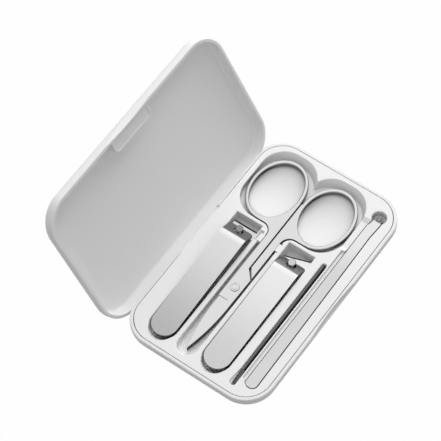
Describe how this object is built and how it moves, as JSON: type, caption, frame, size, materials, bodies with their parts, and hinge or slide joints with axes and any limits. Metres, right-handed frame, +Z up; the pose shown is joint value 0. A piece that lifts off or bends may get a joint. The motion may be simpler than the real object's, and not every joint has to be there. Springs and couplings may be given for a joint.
{
  "type": "manicure set case",
  "caption": "Open white plastic manicure case with a hinged lid and a moulded tray holding nail clippers, scissors, a nail file and an ear pick, each lifting out.",
  "frame": {"origin": "centre of the base's flat underside", "axes": "+X along the long side toward the scissors' finger loops, +Y toward the lid's hinge, +Z up"},
  "size_m": [0.118, 0.1096, 0.0672],
  "materials": {
    "shell_white": "fine satin",
    "tray_white": "fine satin",
    "tool_steel": "satin",
    "file_steel": "cross-cut",
    "plain_steel": "plain",
    "magnet_nickel": "plated"
  },
  "bodies": {
    "case": {"base_shell": "shell_white", "tray_insert": "tray_white", "strike_plate": "plain_steel", "hinge_pin": "plain_steel"},
    "lid": {"lid_shell": "shell_white", "magnet_holder": "tray_white", "lid_magnet": "magnet_nickel"},
    "clipper_a": {"clipper_a_lower_arm": "tool_steel", "clipper_a_rivet": "tool_steel"},
    "clipper_a_jaw": {"clipper_a_upper_arm": "tool_steel"},
    "clipper_a_turn": {"clipper_a_post": "tool_steel"},
    "clipper_a_flip": {"clipper_a_lever": "tool_steel"},
    "clipper_b": {"clipper_b_lower_arm": "tool_steel", "clipper_b_rivet": "tool_steel"},
    "clipper_b_jaw": {"clipper_b_upper_arm": "tool_steel"},
    "clipper_b_turn": {"clipper_b_post": "tool_steel"},
    "clipper_b_flip": {"clipper_b_lever": "tool_steel"},
    "scissors": {"scissor_upper_half": "tool_steel", "scissor_screw": "tool_steel"},
    "scissors_lower": {"scissor_lower_half": "tool_steel"},
    "file": {"nail_file": "file_steel"},
    "pick": {"ear_pick": "tool_steel"}
  },
  "joints": [
    {"name": "lid_hinge", "type": "hinge", "parent": "case", "child": "lid", "pos_m": [0, 0.0343, 0.0051], "axis": [-1, 0, 0], "range_deg": [-115.5, 0]},
    {"name": "clipper_a_lift", "type": "slide", "parent": "case", "child": "clipper_a", "axis": [0, 0, 1], "range_m": [0, 0.11]},
    {"name": "clipper_a_squeeze", "type": "hinge", "parent": "clipper_a", "child": "clipper_a_jaw", "pos_m": [-0.0486, 0.01945, 0.00396], "axis": [0, 1, 0], "range_deg": [0, 0.7], "stiffness_Nm_per_rad": 2},
    {"name": "clipper_a_swivel", "type": "hinge", "parent": "clipper_a", "child": "clipper_a_turn", "pos_m": [0.0084, 0.01945, 0.0085], "axis": [0, 0, -1], "range_deg": [0, 60.5]},
    {"name": "clipper_a_tilt", "type": "hinge", "parent": "clipper_a_turn", "child": "clipper_a_flip", "pos_m": [0.00921, 0.01945, 0.00853], "axis": [0, 1, 0], "range_deg": [0, 20]},
    {"name": "clipper_b_lift", "type": "slide", "parent": "case", "child": "clipper_b", "axis": [0, 0, 1], "range_m": [0, 0.11]},
    {"name": "clipper_b_squeeze", "type": "hinge", "parent": "clipper_b", "child": "clipper_b_jaw", "pos_m": [-0.0486, -0.00855, 0.00296], "axis": [0, 1, 0], "range_deg": [0, 0.7], "stiffness_Nm_per_rad": 2},
    {"name": "clipper_b_swivel", "type": "hinge", "parent": "clipper_b", "child": "clipper_b_turn", "pos_m": [0.0084, -0.00855, 0.0085], "axis": [0, 0, 1], "range_deg": [0, 60.5]},
    {"name": "clipper_b_tilt", "type": "hinge", "parent": "clipper_b_turn", "child": "clipper_b_flip", "pos_m": [0.00923, -0.00855, 0.00609], "axis": [0, 1, 0], "range_deg": [0, 20]},
    {"name": "scissors_lift", "type": "slide", "parent": "case", "child": "scissors", "axis": [0, 0, 1], "range_m": [0, 0.15]},
    {"name": "scissors_open", "type": "hinge", "parent": "scissors", "child": "scissors_lower", "pos_m": [-0.015, 0.0052, 0.0064], "axis": [0, 0, -1], "range_deg": [0, 25.2]},
    {"name": "file_lift", "type": "slide", "parent": "case", "child": "file", "axis": [0, 0, 1], "range_m": [0, 0.04]},
    {"name": "pick_lift", "type": "slide", "parent": "case", "child": "pick", "axis": [0, 0, 1], "range_m": [0, 0.04]}
  ],
  "couplings": [
    {"joint": "clipper_a_swivel", "follows": "clipper_a_lift", "rad_per_m": 9.52},
    {"joint": "clipper_b_swivel", "follows": "clipper_b_lift", "rad_per_m": 9.52},
    {"joint": "scissors_open", "follows": "scissors_lift", "rad_per_m": 2.9089}
  ]
}
